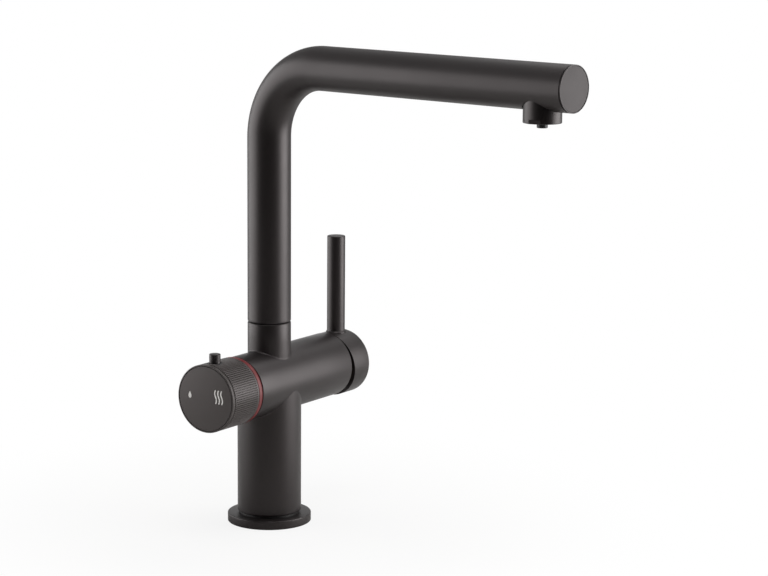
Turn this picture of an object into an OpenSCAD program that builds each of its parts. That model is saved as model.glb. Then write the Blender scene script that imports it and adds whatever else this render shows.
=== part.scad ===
// Three-in-one boiling water tap: tall swivel spout, filtered and boiling water
// knob on the left of the cross barrel, lever mixer on the right.
// Origin at the centre of the flange's underside, +Z up, the user stands at -Y.

/* [Base] */
// Diameter of the flange that stands on the worktop
flange_d = 59; // [56:0.2:66]
// Thickness of the flange
flange_t = 6.1; // [5:0.1:8]
// Rounding of the flange's outer edges
flange_edge = 0.6; // [0.2:0.1:1.2]
// Height of the reveal between flange and column
reveal_h = 1.3; // [1:0.1:3]
// Depth of that reveal, measured in from the column
reveal_depth = 1.6; // [0.6:0.1:2]
// Bore for the M33 fixing shank, at its minor diameter
shank_bore_d = 31.4; // [30:0.1:32]
// Depth of the shank's thread
shank_bore_depth = 14; // [10:0.5:20]
// Height of the base insert above the reveal
insert_h = 24; // [18:0.5:34]
// Bore of the M10 hose ports, at its minor diameter
hose_port_d = 8.9; // [8:0.1:9.4]
// Depth of a hose port's thread
hose_port_depth = 8; // [6:0.5:9]
// Circle on which the hose ports and pipes stand
pipe_circle_d = 17.4; // [16.6:0.2:18.4]
// Outer diameter of the supply pipes
pipe_d = 8; // [7:0.1:8.4]
// Wall of the supply pipes
pipe_wall = 0.8; // [0.5:0.1:1.2]

/* [Column and barrel] */
// Diameter of the column
column_d = 45; // [43:0.1:45.2]
// Wall of the column
column_wall = 2.4; // [1.8:0.1:2.6]
// Rounding of the column's lower edge
column_edge = 1.4; // [0.4:0.1:1.6]
// Height of the cross barrel's axis above the worktop
barrel_z = 100.9; // [94:0.5:120]
// Diameter of the cross barrel
barrel_d = 45.9; // [45.4:0.1:48]
// Wall of the cross barrel
barrel_wall = 2.9; // [2.4:0.1:3.4]
// Reach of the barrel on the knob side
barrel_left = 37.8; // [36.4:0.2:48]
// Reach of the barrel on the lever side
barrel_right = 69.8; // [67:0.2:80]
// Chamfer on the barrel's ends
barrel_edge = 0.4; // [0.2:0.1:0.8]
// Height at which the spout turns on the riser stub
swivel_z = 144; // [138:0.5:160]
// Chamfer on the stub's top edge
stub_edge = 0.9; // [0.4:0.1:1.2]
// Height of the dark line between stub and spout
swivel_gap = 0.5; // [0.4:0.05:0.8]
// Distance of the stop screw below the stub's top
stop_drop = 12; // [11:0.5:14]

/* [Spout] */
// Diameter of the spout's tube
spout_d = 30.4; // [29:0.2:32]
// Wall of the spout's tube
spout_wall = 1.2; // [1:0.1:1.6]
// Height of the spout's level part, at its axis
spout_z = 323.6; // [290:1:360]
// Radius of the bend, at the tube's axis
bend_r = 50; // [42:1:64]
// Reach from the column's axis to the spout's tip
spout_reach = 260.8; // [220:0.2:290]
// Angle of the spout at rest, turned towards the knob side
spout_rest = 7.4; // [0:0.1:20]
// Travel of the spout to each side of straight ahead
spout_swing = 90; // [60:5:100]
// Distance of the outlet from the tip
outlet_inset = 24.5; // [20:0.5:32]
// Diameter of the outlet's collar
collar_d = 24.8; // [23:0.1:25.6]
// Drop of the collar below the tube
collar_drop = 7.5; // [4:0.1:9]
// Diameter of the boiling nozzle's tip
nozzle_d = 7; // [6.4:0.1:8]
// Drop of the nozzle below the collar
nozzle_drop = 3.2; // [2:0.2:6]
// Recess of the end disc in the spout's tip
end_recess = 0.8; // [0.4:0.1:1.4]
// Diameter of the inner boiling tube
inner_tube_d = 6; // [5:0.1:6.4]
// Diameter of the turned shank in the riser stub
shank_d = 21; // [20:0.1:21.6]

/* [Boiling knob] */
// Diameter of the knob over its ridges
knob_d = 47.2; // [46.4:0.1:50]
// Distance of the knob's face from the column's axis
knob_face_x = 73.1; // [71:0.2:85]
// Wall of the knob's sleeve
knob_wall = 2.8; // [2.4:0.1:3.2]
// Width of the smooth lip round the face plate
lip_w = 2.4; // [1.8:0.1:3.2]
// Width of the dark line between lip and ridges
lip_groove = 0.6; // [0.4:0.1:0.9]
// Number of ridges round the knob
ridge_count = 96; // [72:4:120]
// Depth of the grooves between the ridges
ridge_depth = 0.45; // [0.3:0.05:0.6]
// Thickness of the face plate
face_t = 1.4; // [1:0.1:1.8]
// Width of the lip's front rim, round the face plate
face_rim = 0.95; // [0.7:0.05:1.4]
// Gap between face plate and rim
face_groove = 0.35; // [0.3:0.05:0.6]
// Width of the red ring between knob and barrel
ring_w = 3.9; // [2.6:0.1:4.8]
// Width of the groove between ring and barrel
ring_gap = 1.2; // [0.8:0.1:1.6]
// Diameter of the safety button
button_d = 7.8; // [7:0.1:8.4]
// Rise of the safety button above the knob
button_rise = 6; // [4.4:0.1:9]
// Distance of the button's axis behind the knob's face
button_inset = 10.6; // [9.6:0.1:13]
// Travel of the button when it is pressed
button_travel = 2.5; // [1.5:0.1:3]

/* [Mixer lever] */
// Diameter of the lever's cap
cap_d = 46.6; // [46:0.1:48]
// Distance of the cap's outer face from the column's axis
cap_face_x = 91.8; // [89:0.2:100]
// Distance of the cap's axis below the barrel's
cap_drop = 0.6; // [0:0.1:0.8]
// Gap between barrel and cap at the top
cap_gap = 0.5; // [0.4:0.1:1]
// Extra gap at the bottom, into which the cap tilts
cap_wedge = 5.4; // [4:0.1:6]
// Wall of the cap's skirt
cap_wall = 2.1; // [1.6:0.1:2.2]
// Rounding of the cap's outer edge
cap_edge = 0.8; // [0.4:0.1:1.4]
// Diameter of the lever
lever_d = 13.1; // [11:0.1:13.6]
// Height of the lever's top above the worktop
lever_top_z = 194; // [170:1:230]
// Chamfer on the lever's top
lever_edge = 0.7; // [0.3:0.1:1.2]
// Distance of the lever's axis in from the cap's face
lever_inset = 9.8; // [9.4:0.1:10.4]
// Distance of the tilt pivot in from the cap's rim
pivot_depth = 14.8; // [14:0.1:16.5]
// Largest tilt of the lever
tilt_max = 18; // [12:1:18]

/* [Fits] */
// Radial clearance of pieces fixed in one another
fit = 0.05; // [0.03:0.01:0.1]
// Radial clearance of pieces that turn or slide in one another
run = 0.06; // [0.03:0.01:0.1]
// Clearance between pieces that only pass each other
clear = 0.3; // [0.25:0.05:0.5]

/* [Hidden] */
$fn = 96;
eps = 0.01;
far = 100;

// Base
flange_r = flange_d / 2;
column_r = column_d / 2;
column_bore_r = column_r - column_wall;
column_foot_z = flange_t + reveal_h;
neck_r = column_r - reveal_depth;
insert_r = column_bore_r - fit;
insert_top = column_foot_z + insert_h;
spigot_wall = 1.7;
spigot_r = shank_bore_d / 2 + spigot_wall;
seal_w = 3;
seal_t = 1.5;
seal_r = (spigot_r + flange_r) / 2 + 1;
pipe_r = pipe_d / 2;
pipe_offset = pipe_circle_d / 2 * cos(45);
pipe_foot_z = shank_bore_depth + hose_port_depth + 1;

// Barrel, measured along X
barrel_r = barrel_d / 2;
barrel_bore_r = barrel_r - barrel_wall;
core_r = barrel_bore_r - clear;
throat_r = pipe_circle_d / 2 + pipe_r + clear;
nut_len = 8;
nut_inset = 1;
cartridge_len = 34;
cartridge_end = barrel_right - nut_inset - nut_len;
manifold_right = cartridge_end - cartridge_len;
gland_depth = 4.4;
valve_len = 19.4;
manifold_left = -barrel_left + gland_depth + valve_len;
pipe_top = barrel_z - core_r / 2 - 1;
mixed_way_r = 2.5;
mixed_way_x = 6.9;
way_r = 2;
boiling_way_r = 1.6;
port_at = 6;

// Riser stub and swivel
spout_r = spout_d / 2;
spout_bore_r = spout_r - spout_wall;
stub_top = swivel_z - swivel_gap / 2;
spout_foot = swivel_z + swivel_gap / 2;
shank_r = shank_d / 2;
shank_bore_r = shank_r - 2.5;
shank_foot = barrel_z + 6;
socket_floor = shank_foot - clear;
tube_foot = barrel_z - 1;
inner_tube_r = inner_tube_d / 2;
inner_tube_wall = 1;
bush_wall = 2;
bush_r = shank_r + run + bush_wall;
stub_bore_r = bush_r + fit;
bush_flange_r = bush_r + 0.6;
bush_flange_t = 1;
bush_len = 7;
low_bush_z = barrel_z + core_r + 2;
shank_plug = 18;
stop_z = stub_top - stop_drop;
stop_r = 2;
stop_tip_r = shank_r - 1.1;
stop_groove_r = shank_r - 1.5;
stop_margin = asin((stop_r + clear) / stop_tip_r);
oring_r = 0.85;
oring_groove = 2 * oring_r + 0.1;
oring_half = oring_r + 0.1;
oring_land = 2.2;
oring_step = 4.5;

// Spout, measured along its own level axis
outlet_at = spout_reach - outlet_inset;
collar_r = collar_d / 2;
collar_foot = spout_z - spout_r - collar_drop;
collar_top = spout_z - sqrt(spout_bore_r * spout_bore_r - collar_r * collar_r) + 0.6;
collar_wall = 1.5;
aerator_r = collar_r - collar_wall - fit;
aerator_h = 7;
aerator_foot = collar_foot + 0.5;
aerator_plate = 1.2;
aerator_wall = 1;
nozzle_r = nozzle_d / 2;
nozzle_foot = collar_foot - nozzle_drop;
nozzle_body_r = inner_tube_r + 1.8;
nozzle_body_foot = aerator_foot + aerator_plate;
nozzle_body_top = nozzle_body_foot + aerator_h;
nozzle_socket = 3;
elbow_r = 9;
end_t = 3;

// Knob, measured along -X
knob_r = knob_d / 2;
ring_step = 1.3;
knob_gap = 0.3;
gland_face = barrel_left + ring_gap;
ring_end = gland_face + ring_w;
knob_start = ring_end + knob_gap;
face_back = knob_face_x - face_t;
lip_end = knob_face_x - lip_w;
ridge_start = lip_end - lip_groove;
sleeve_bore_r = knob_r - knob_wall;
hub_r = sleeve_bore_r - fit;
ridge_r = knob_r - 0.03;
groove_r = ridge_r - ridge_depth - 0.1;
rim_w = 1.7;
broken_edge = 0.3;
hub_start = knob_start + 6;
hub_drive = 18;
spindle_tip = hub_start + hub_drive;
screw_seat = spindle_tip + 1;
screw_r = 2;
screw_head_r = 3.6;
screw_thread = 9;
face_r = knob_r - face_rim - face_groove;
spindle_r = 4.5;
gland_neck_r = 12;
valve_bore_r = 11;
valve_base = 3;
disc_t = 3;
disc_gap = 0.05;
spindle_flange_x = -barrel_left + gland_depth + clear;
spindle_oring_x = spindle_flange_x + 3;
button_r = button_d / 2;
button_x = knob_face_x - button_inset;
guide_wall = 1.1;
guide_r = button_r + run + guide_wall;
guide_top = sqrt(knob_r * knob_r - guide_r * guide_r) + 0.1;
pocket_floor = 9;
spring_top = pocket_floor + button_travel + 3.5;
spring_r = button_r - 0.6;

// Mixer, measured along X
cap_r = cap_d / 2;
rim_top_x = barrel_right + cap_gap;
rim_low_x = rim_top_x + cap_wedge;
pivot_x = rim_top_x - pivot_depth;
cap_solid_x = rim_low_x + 2.8;
cap_boss_x = cap_solid_x - 3;
lever_x = cap_face_x - lever_inset;
lever_r = lever_d / 2;
lever_seat = sqrt(cap_r * cap_r - (lever_r + 0.6) * (lever_r + 0.6)) - 0.4 - cap_drop;
lever_stud_r = 3;
lever_stud = 9;
stem_r = 4;
boss_r = stem_r + 4;
stem_step_r = 3;
stem_neck_r = 1.3;
stem_head_x = pivot_x - 6;
stem_step_x = stem_head_x - 5;
stem_end = cap_solid_x + 7;
grub_r = 2.5;
grub_len = 7;
grub_x = cap_solid_x + 3.5;
cup_bore_r = core_r - 3.2;
cup_base = 3;
seal_plate = 1;
fixed_disc_x = manifold_right + cup_base + seal_plate;
moving_disc_x = fixed_disc_x + disc_t + disc_gap;
moving_disc_t = 4;
driver_x = moving_disc_x + moving_disc_t;
driver_t = 5;
driver_w = 12;
driver_h = 14;
ball_r = 2;
ball_x = driver_x + driver_t / 2;
ball_play = 0.4;
carrier_x = driver_x + clear;
disc_travel = (pivot_x - ball_x) * sin(tilt_max);
moving_disc_r = cup_bore_r - disc_travel - 2.3;
carrier_end = cartridge_end - clear;
carrier_r = cup_bore_r - run;
pin_r = 1.5;

// Solid cylinder along Z
module z_rod(r, z0, z1) {
    translate([0, 0, z0]) cylinder(r = r, h = z1 - z0);
}

// Solid cylinder along X on the barrel's axis
module x_rod(r, x0, x1) {
    translate([x0, 0, barrel_z]) rotate([0, 90, 0]) cylinder(r = r, h = x1 - x0);
}

// Tube along Z
module z_pipe(r, bore, z0, z1) {
    difference() {
        z_rod(r, z0, z1);
        z_rod(bore, z0 - eps, z1 + eps);
    }
}

// Tube along X on the barrel's axis
module x_pipe(r, bore, x0, x1) {
    difference() {
        x_rod(r, x0, x1);
        x_rod(bore, x0 - eps, x1 + eps);
    }
}

// Cylinder along Z with chamfered ends
module z_turned(r, z0, z1, low, high) {
    rotate_extrude() polygon(concat(
        [[0, z0]],
        low > 0 ? [[r - low, z0], [r, z0 + low]] : [[r, z0]],
        high > 0 ? [[r, z1 - high], [r - high, z1]] : [[r, z1]],
        [[0, z1]]
    ));
}

// Cylinder along X with chamfered ends
module x_turned(r, x0, x1, low, high) {
    translate([0, 0, barrel_z]) rotate([0, 90, 0]) z_turned(r, x0, x1, low, high);
}

// Cylinder along Z whose lower edge is rounded by a quarter circle
module z_rounded_foot(r, z0, z1, e) {
    steps = 6;
    arc = [for (i = [0 : steps]) [r - e + e * sin(90 * i / steps), z0 + e - e * cos(90 * i / steps)]];
    rotate_extrude() polygon(concat([[0, z0]], arc, [[r, z1], [0, z1]]));
}

// Round rubber ring about Z
module z_ring(r, thick, z) {
    translate([0, 0, z]) rotate_extrude() translate([r, 0]) circle(r = thick, $fn = 32);
}

// Cutter that chamfers the edge of a rod standing on z = 0
module edge_cut(r, c) {
    rotate_extrude() polygon([[r - c, -eps], [r + 1, -eps], [r + 1, c], [r, c]]);
}

// Places a copy at one of the four pipe stations
module at_pipe(k) {
    rotate([0, 0, 45 + 90 * k]) translate([pipe_circle_d / 2, 0, 0]) children();
}

// Places what belongs to the spout, which is drawn pointing to -Y
module at_spout() {
    rotate([0, 0, -spout_rest]) children();
}

// Places what stands on the outlet's axis
module at_outlet() {
    at_spout() translate([0, -outlet_at, 0]) children();
}

// One length of round tube that follows the spout's line
module spout_run(r, z0, reach) {
    z_rod(r, z0, spout_z - bend_r);
    translate([0, -bend_r, spout_z - bend_r]) rotate([90, 0, 90])
        rotate_extrude(angle = 90) translate([bend_r, 0]) circle(r = r);
    translate([0, -bend_r, spout_z]) rotate([90, 0, 0]) cylinder(r = r, h = reach - bend_r);
}

// Flange: turned brass disc that covers the hole in the worktop
module base_flange() {
    color("#3a3738") difference() {
        z_turned(flange_r, 0, flange_t, flange_edge / 2, flange_edge);
        z_rod(spigot_r + fit, -eps, flange_t + eps);
        z_pipe(seal_r + seal_w / 2, seal_r - seal_w / 2, -eps, seal_t);
    }
}

// Flat rubber seal let into the flange's underside
module base_seal() {
    color("#1c1c1d") z_pipe(seal_r + seal_w / 2 - fit, seal_r - seal_w / 2 + fit, 0, seal_t);
}

// Base insert: thread for the shank, hose ports, seats of the pipes and the neck of the reveal
module base_insert() {
    color("#b58d4a") difference() {
        union() {
            z_rod(spigot_r, 0, flange_t + eps);
            z_rod(neck_r, flange_t, column_foot_z);
            z_rod(insert_r, column_foot_z - eps, insert_top);
        }
        z_rod(shank_bore_d / 2, -eps, shank_bore_depth);
        for (k = [0 : 3]) at_pipe(k) {
            z_rod(hose_port_d / 2, 0, shank_bore_depth + hose_port_depth);
            z_rod(pipe_r - pipe_wall, 0, pipe_foot_z + eps);
            z_rod(pipe_r + fit, pipe_foot_z, insert_top + eps);
        }
    }
}

// Body: column, cross barrel and riser stub, cast in brass in one piece
module body_shell() {
    color("#38363a") difference() {
        union() {
            z_rounded_foot(column_r, column_foot_z, barrel_z, column_edge);
            x_turned(barrel_r, -barrel_left, barrel_right, barrel_edge, barrel_edge);
            z_turned(spout_r, barrel_z, stub_top, 0, stub_edge);
        }
        z_rod(column_bore_r, column_foot_z - eps, barrel_z - barrel_r);
        z_rod(throat_r, barrel_z - barrel_r - eps, barrel_z);
        x_rod(barrel_bore_r, -barrel_left - eps, barrel_right + eps);
        z_rod(stub_bore_r, barrel_z, stub_top + eps);
        z_rod(bush_flange_r + fit, stub_top - bush_flange_t + eps, stub_top + eps);
        translate([0, 0, stop_z]) rotate([-90, 0, 0]) cylinder(r = stop_r + fit, h = spout_r + 1);
    }
}

// One of the four supply pipes between base insert and manifold
module supply_pipe(k) {
    at_pipe(k) z_pipe(pipe_r, pipe_r - pipe_wall, pipe_foot_z, pipe_top);
}
module hot_pipe() { color("#b87348") supply_pipe(0); }
module boiling_pipe() { color("#c9cbce") supply_pipe(1); }
module filtered_pipe() { color("#b9c4cc") supply_pipe(2); }
module cold_pipe() { color("#c07c50") supply_pipe(3); }

// Manifold: brass core of the barrel that leads the four waters to valves and spout
module water_manifold() {
    wall = 3;
    color("#c29a55") difference() {
        x_rod(core_r, manifold_left, manifold_right);
        // pipe sockets, each with a bore on to the valve that it feeds
        for (k = [0 : 3]) at_pipe(k) {
            z_rod(pipe_r + fit, 0, pipe_top + eps);
            z_rod(pipe_r - pipe_wall, 0, pipe_top + wall);
        }
        for (side = [-1, 1]) {
            translate([pipe_offset, side * pipe_offset, pipe_top + wall / 2])
                rotate([0, 90, 0]) cylinder(r = way_r, h = manifold_right);
            translate([-pipe_offset, side * pipe_offset, pipe_top + wall / 2])
                rotate([0, -90, 0]) cylinder(r = way_r, h = -manifold_left);
        }
        // socket of the spout's shank, with the mixed water way to the right
        z_rod(shank_r + run + clear / 2, socket_floor, barrel_z + core_r + 1);
        x_rod(mixed_way_r, mixed_way_x, manifold_right + eps);
        translate([mixed_way_x, 0, 0]) z_rod(mixed_way_r, barrel_z, socket_floor + eps);
        // seat of the inner tube, with the boiling way to the left
        z_rod(inner_tube_r + run, tube_foot - clear, socket_floor + eps);
        translate([0, 0, -clear]) x_rod(boiling_way_r, manifold_left - eps, 0);
    }
}

// Cartridge body: cup of the mixer cartridge, clamped against the manifold
module cartridge_body() {
    color("#d9d6cf") difference() {
        x_rod(core_r, manifold_right, cartridge_end);
        x_rod(cup_bore_r, manifold_right + cup_base, cartridge_end + eps);
        cartridge_ports(manifold_right - eps, cup_base + 2 * eps, way_r + 0.4);
    }
}

// Hot, cold and mixed ways through cup, seal and fixed disc
module cartridge_ports(x0, h, r) {
    for (a = [0, 120, 240]) translate([x0, 0, barrel_z]) rotate([a, 0, 0])
        translate([0, 0, port_at]) rotate([0, 90, 0]) cylinder(r = r, h = h);
}

// Rubber plate under the fixed disc
module cartridge_seal() {
    color("#2b2b2b") difference() {
        x_rod(cup_bore_r - clear, manifold_right + cup_base, fixed_disc_x);
        cartridge_ports(manifold_right + cup_base - eps, seal_plate + 2 * eps, way_r + 0.2);
    }
}

// Fixed ceramic disc of the mixer
module cartridge_fixed_disc() {
    color("#f2f0ea") difference() {
        x_rod(cup_bore_r - clear, fixed_disc_x, fixed_disc_x + disc_t);
        cartridge_ports(fixed_disc_x - eps, disc_t + 2 * eps, way_r);
    }
}

// Nut that clamps the cartridge, with a slotted rim for its spanner
module cartridge_nut() {
    slot_w = 4;
    color("#c29a55") difference() {
        x_turned(barrel_bore_r - fit, cartridge_end, cartridge_end + nut_len, 0, 0.6);
        x_rod(cup_bore_r - 2.6, cartridge_end - eps, cartridge_end + nut_len + eps);
        for (a = [0 : 45 : 315]) translate([cartridge_end + nut_len, 0, barrel_z]) rotate([a, 0, 0])
            translate([0, 0, barrel_bore_r - 2]) cube([3, slot_w, slot_w + 1], center = true);
    }
}

// Valve body for boiling and filtered water, clamped against the manifold
module boiling_valve_body() {
    x_in = manifold_left - valve_base;
    color("#c9a86a") difference() {
        x_rod(core_r, manifold_left - valve_len, manifold_left);
        x_rod(valve_bore_r, manifold_left - valve_len - eps, x_in);
        for (side = [-1, 1]) translate([x_in - eps, side * port_at, barrel_z])
            rotate([0, 90, 0]) cylinder(r = way_r, h = valve_base + 2 * eps);
    }
}

// Fixed ceramic disc of the boiling valve
module boiling_fixed_disc() {
    x1 = manifold_left - valve_base;
    color("#f2f0ea") difference() {
        x_rod(valve_bore_r - fit, x1 - disc_t, x1);
        for (side = [-1, 1]) translate([x1 - disc_t - eps, side * port_at, barrel_z])
            rotate([0, 90, 0]) cylinder(r = way_r, h = disc_t + 2 * eps);
    }
}

// Gland nut: holds the valve in the barrel, guides the spindle and carries the red ring
module gland_nut() {
    color("#b58d4a") difference() {
        union() {
            x_rod(barrel_bore_r - fit, -gland_face, -barrel_left + gland_depth);
            x_rod(gland_neck_r, -ring_end, -gland_face + eps);
        }
        x_rod(spindle_r + run, -ring_end - eps, -barrel_left + gland_depth + eps);
    }
}

// Red ring that marks the boiling side, with a narrower foot against the barrel
module accent_ring() {
    color("#8e2a2c") difference() {
        union() {
            x_turned(knob_r - 0.1, -ring_end, -gland_face, broken_edge, broken_edge);
            x_pipe(knob_r - ring_step, barrel_bore_r + clear, -gland_face - eps, -barrel_left);
        }
        x_rod(gland_neck_r + fit, -ring_end - eps, -gland_face + eps);
    }
}

// Two plastic bushes in which the spout's shank turns
module swivel_bushes() {
    color("#e4e1d8") {
        difference() {
            union() {
                z_rod(bush_flange_r, stub_top - bush_flange_t + eps, stub_top + swivel_gap / 2);
                z_rod(bush_r, stub_top - bush_len, stub_top - bush_flange_t + 2 * eps);
            }
            z_rod(shank_r + run, stub_top - bush_len - eps, swivel_z + swivel_gap);
        }
        z_pipe(bush_r, shank_r + run, low_bush_z, low_bush_z + bush_len / 2);
    }
}

// Screw at the back of the stub that stops the spout at the ends of its swing
module swivel_stop_screw() {
    color("#8d8f93") translate([0, 0, stop_z]) rotate([-90, 0, 0]) difference() {
        translate([0, 0, stop_tip_r]) cylinder(r = stop_r, h = spout_r - 0.4 - stop_tip_r);
        translate([0, 0, spout_r - 2]) cylinder(r = 1, h = 3, $fn = 6);
    }
}

// Spout: one length of tube bent through a quarter circle
module spout_tube() {
    color("#3a383a") at_spout() difference() {
        spout_run(spout_r, spout_foot, spout_reach);
        spout_run(spout_bore_r, spout_foot - eps, spout_reach + eps);
        translate([0, 0, spout_foot]) edge_cut(spout_r, barrel_edge);
        translate([0, -spout_reach, spout_z]) rotate([-90, 0, 0]) edge_cut(spout_r, barrel_edge / 2);
        translate([0, -outlet_at, 0]) z_rod(collar_r + fit, collar_foot, spout_z);
    }
}

// Shank: turned foot of the spout that turns in the bushes and seals in the manifold
module spout_shank() {
    color("#c29a55") at_spout() difference() {
        union() {
            z_rod(shank_r, shank_foot, spout_foot + eps);
            z_rod(spout_bore_r - fit, spout_foot, spout_foot + shank_plug);
        }
        z_rod(shank_bore_r, shank_foot - eps, spout_foot + shank_plug + eps);
        for (i = [0, 1]) z_pipe(shank_r + 1, shank_r - oring_groove,
            shank_foot + oring_land + i * oring_step - oring_half,
            shank_foot + oring_land + i * oring_step + oring_half);
        // groove that runs past the stop screw
        translate([0, 0, stop_z]) rotate([0, 0, -stop_margin])
            rotate_extrude(angle = 2 * spout_swing + 2 * stop_margin)
            translate([stop_groove_r, -stop_r - clear]) square([3, 2 * (stop_r + clear)]);
    }
}

// Two O-rings on the shank
module shank_orings() {
    color("#1c1c1d") at_spout() for (i = [0, 1])
        z_ring(shank_r - oring_r + 0.05, oring_r - 0.02, shank_foot + oring_land + i * oring_step);
}

// Inner tube that keeps boiling water apart up to the nozzle
module inner_boiling_tube() {
    end = outlet_at - elbow_r;
    color("#d8dadc") at_spout() difference() {
        union() {
            spout_run(inner_tube_r, tube_foot, end);
            inner_elbow(inner_tube_r);
            translate([0, -outlet_at, 0])
                z_rod(inner_tube_r, nozzle_body_top - nozzle_socket, spout_z - elbow_r);
        }
        spout_run(inner_tube_r - inner_tube_wall, tube_foot - eps, end);
        inner_elbow(inner_tube_r - inner_tube_wall);
        translate([0, -outlet_at, 0])
            z_rod(inner_tube_r - inner_tube_wall, nozzle_body_top - nozzle_socket - eps, spout_z - elbow_r);
    }
}

// Tight elbow of the inner tube above the outlet
module inner_elbow(r) {
    translate([0, -outlet_at + elbow_r, spout_z - elbow_r]) rotate([90, 0, -90])
        rotate_extrude(angle = 90) translate([elbow_r, 0]) circle(r = r);
}

// Plastic discs that hold the inner tube in the middle of the spout
module tube_spacers() {
    t = 4;
    color("#e4e1d8") at_spout() {
        translate([0, 0, (spout_foot + spout_z - bend_r) / 2]) spacer_disc(t);
        translate([0, -(bend_r + outlet_at) / 2, spout_z]) rotate([90, 0, 0]) spacer_disc(t);
    }
}

// One spacer about Z, with five water ways round the inner tube
module spacer_disc(t) {
    hole_at = (spout_bore_r + inner_tube_r) / 2;
    hole_r = (spout_bore_r - inner_tube_r) / 2 - 2;
    difference() {
        cylinder(r = spout_bore_r - clear, h = t);
        translate([0, 0, -eps]) cylinder(r = inner_tube_r + fit, h = t + 2 * eps);
        for (a = [0 : 72 : 288]) rotate([0, 0, a]) translate([hole_at, 0, -eps])
            cylinder(r = hole_r, h = t + 2 * eps);
    }
}

// Disc that closes the spout's tip, set back from its rim
module spout_end_disc() {
    color("#5a5859") at_spout() translate([0, -spout_reach + end_recess, spout_z]) rotate([-90, 0, 0])
        z_turned(spout_bore_r - fit, 0, end_t, 0.3, 0);
}

// Collar soldered into the underside of the tube
module outlet_collar() {
    color("#38363a") at_outlet() difference() {
        z_turned(collar_r, collar_foot, collar_top, 0.4, 0);
        z_rod(collar_r - collar_wall, collar_foot - eps, collar_top + eps);
    }
}

// Aerator: perforated insert round the boiling nozzle
module aerator() {
    color("#2a292a") at_outlet() difference() {
        z_rod(aerator_r, aerator_foot, aerator_foot + aerator_h);
        z_pipe(aerator_r - aerator_wall, nozzle_body_r + aerator_wall + 0.1,
            aerator_foot + aerator_plate, aerator_foot + aerator_h + 1);
        z_rod(nozzle_body_r + fit, nozzle_body_foot, aerator_foot + aerator_h + 1);
        z_rod(nozzle_r + fit, aerator_foot - 1, aerator_foot + aerator_h);
        for (a = [0 : 30 : 330]) rotate([0, 0, a]) translate([(aerator_r + nozzle_body_r) / 2, 0, 0])
            z_rod(0.7, aerator_foot - 1, aerator_foot + aerator_plate + 1);
    }
}

// Nozzle for boiling water in the middle of the outlet
module boiling_nozzle() {
    color("#4a4849") at_outlet() difference() {
        union() {
            z_rod(nozzle_body_r, nozzle_body_foot, nozzle_body_top);
            z_turned(nozzle_r, nozzle_foot, nozzle_body_foot + eps, 0.3, 0);
        }
        z_rod(inner_tube_r - inner_tube_wall, nozzle_foot - eps, nozzle_body_top);
        z_rod(inner_tube_r + fit, nozzle_body_top - nozzle_socket, nozzle_body_top + eps);
    }
}

// Outline of the ridged sleeve, computed ridge by ridge
module ridge_outline() {
    step = 360 / ridge_count;
    polygon([for (i = [0 : ridge_count - 1], k = [0 : 3])
        let (a = step * (i + [0.14, 0.5, 0.5, 0.86][k]) + (k == 1 ? -0.12 : k == 2 ? 0.12 : 0) * step,
             r = (k == 0 || k == 3) ? ridge_r : ridge_r - ridge_depth)
        [r * cos(a), r * sin(a)]]);
}

// Knob sleeve: black coated aluminium, ridged for grip, with a smooth lip round the face plate
module knob_sleeve() {
    color("#454243") difference() {
        union() {
            x_turned(knob_r, -knob_face_x, -lip_end, broken_edge, 0);
            x_rod(groove_r, -lip_end - eps, -ridge_start + eps);
            translate([-ridge_start, 0, barrel_z]) rotate([0, 90, 0])
                linear_extrude(height = ridge_start - knob_start - rim_w) ridge_outline();
            x_turned(knob_r, -knob_start - rim_w, -knob_start, 0, broken_edge);
        }
        x_rod(sleeve_bore_r, -knob_face_x - eps, -knob_start + eps);
        // seat of the face plate
        x_rod(face_r + face_groove, -knob_face_x - eps, -face_back);
        translate([-button_x, 0, barrel_z]) cylinder(r = guide_r + fit, h = knob_r + 5);
    }
}

// Face plate: thin disc that carries the two marks
module knob_face() {
    color("#4a4748") x_turned(face_r, -knob_face_x, -face_back, broken_edge / 2, 0);
}

// Hub: moulded core of the knob, driven by the spindle
module knob_hub() {
    rim = 3;
    color("#303032") difference() {
        x_rod(hub_r, -face_back, -hub_start);
        x_rod(spindle_r + fit, -spindle_tip, -hub_start + eps);
        x_rod(screw_r + 0.2, -face_back, -hub_start);
        x_rod(screw_head_r + 0.4, -face_back - eps, -screw_seat);
        translate([-button_x, 0, barrel_z + pocket_floor])
            cylinder(r = guide_r + fit, h = knob_r);
        // relief round the spindle's boss
        x_pipe(hub_r - rim, spindle_r + rim + 1, -hub_start - 5, -hub_start + eps);
    }
}

// Screw that holds the hub on the spindle, under the face plate
module knob_screw() {
    color("#9a9ca0") difference() {
        union() {
            x_rod(screw_head_r, -face_back + 0.1, -screw_seat);
            x_rod(screw_r, -screw_seat - eps, screw_thread - spindle_tip);
        }
        translate([-face_back, 0, barrel_z]) rotate([0, 90, 0]) cylinder(r = 1.4, h = 1.6, $fn = 6);
    }
}

// Spindle: stainless shaft that turns the moving disc
module boiling_spindle() {
    color("#a9abae") difference() {
        union() {
            x_rod(spindle_r, -spindle_tip, spindle_flange_x + eps);
            x_rod(valve_bore_r - run, spindle_flange_x, manifold_left - valve_base - 2 * disc_t - disc_gap);
        }
        x_rod(screw_r + fit, -spindle_tip - eps, screw_thread + 1 - spindle_tip);
        x_pipe(valve_bore_r + 1, valve_bore_r - oring_groove,
            spindle_oring_x - oring_half, spindle_oring_x + oring_half);
    }
}

// O-ring of the spindle
module spindle_oring() {
    color("#1c1c1d") translate([0, 0, barrel_z]) rotate([0, 90, 0])
        z_ring(valve_bore_r - run - oring_r + 0.02, oring_r - 0.02, spindle_oring_x);
}

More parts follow.
